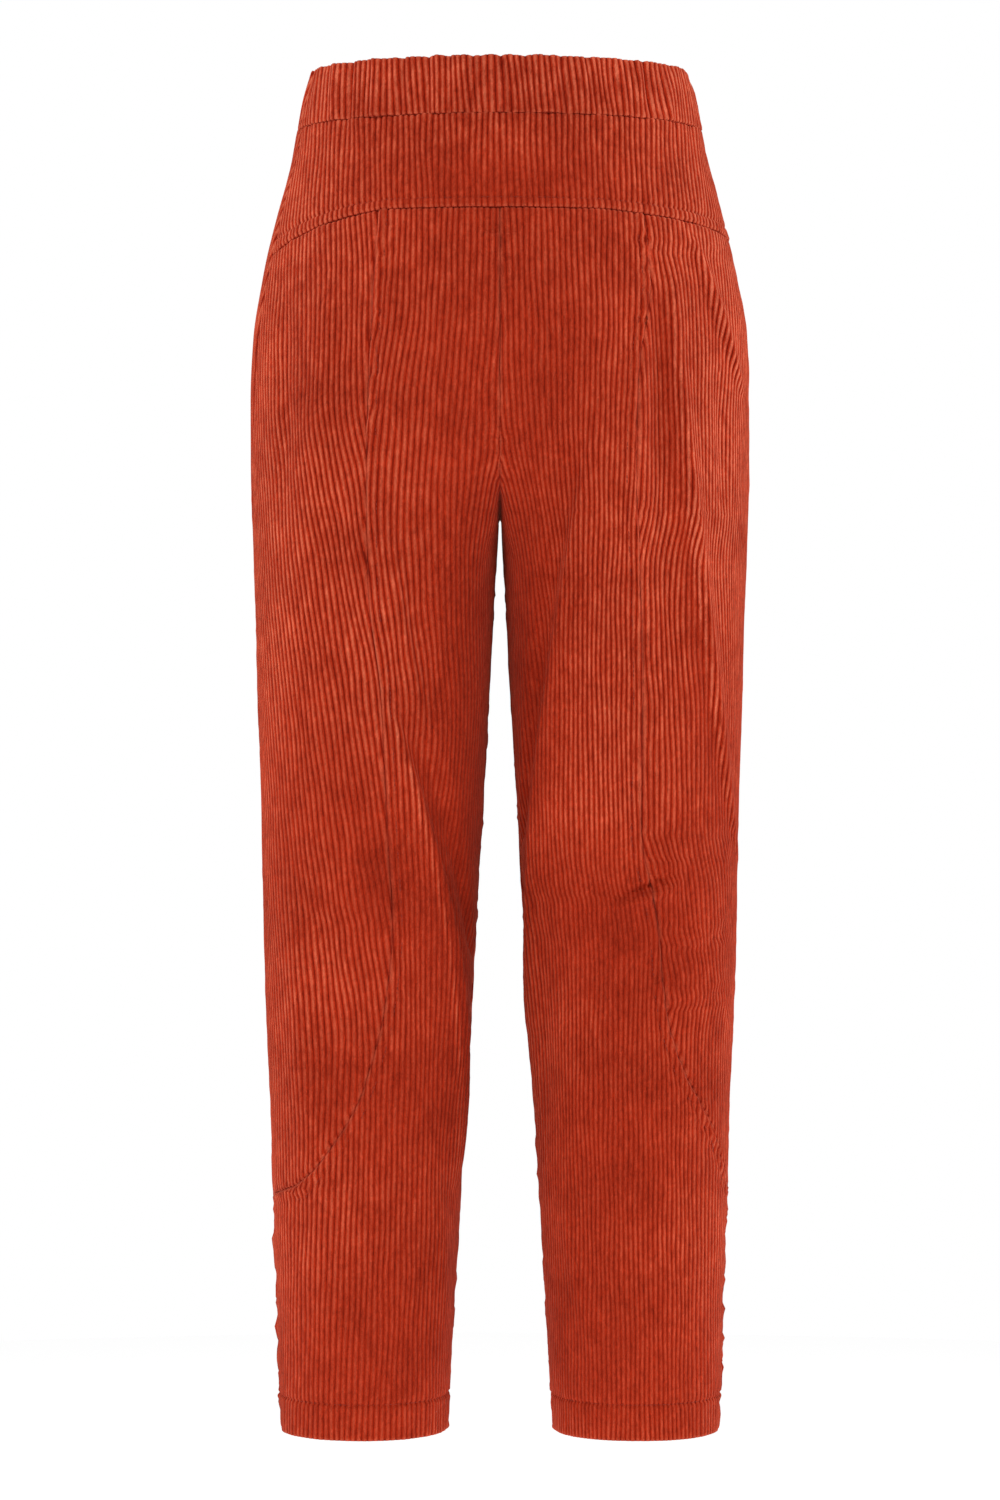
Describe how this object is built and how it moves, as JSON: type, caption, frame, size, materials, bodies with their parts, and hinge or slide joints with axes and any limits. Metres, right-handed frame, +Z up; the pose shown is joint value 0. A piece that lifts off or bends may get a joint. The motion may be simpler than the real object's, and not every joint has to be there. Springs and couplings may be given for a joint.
{
  "type": "pull-on corduroy trousers",
  "caption": "Rust-orange wide-wale corduroy trousers, filled out: elasticated waistband, curved back yoke, side-back panels, tapered ankle-length legs.",
  "frame": {"origin": "centre of the waist opening, level with the waistband's top edge", "axes": "+Z up the wearer, +Y the way the wearer faces (the back is on the -Y side), +X the wearer's right"},
  "size_m": [0.3555, 0.2349, 0.974],
  "materials": {
    "waistband": "wide-wale cotton corduroy, soft napped ridges",
    "yoke": "wide-wale cotton corduroy, soft napped ridges",
    "back_panels": "wide-wale cotton corduroy, soft napped ridges",
    "side_panels": "wide-wale cotton corduroy, soft napped ridges",
    "front_panels": "wide-wale cotton corduroy, soft napped ridges"
  },
  "bodies": {
    "root": {"waistband_back": "waistband", "waistband_front": "waistband", "yoke_back": "yoke", "back_panel_left": "back_panels", "back_panel_right": "back_panels", "side_panel_left": "side_panels", "side_panel_right": "side_panels", "front_panel_left": "front_panels", "front_panel_right": "front_panels"}
  },
  "joints": []
}
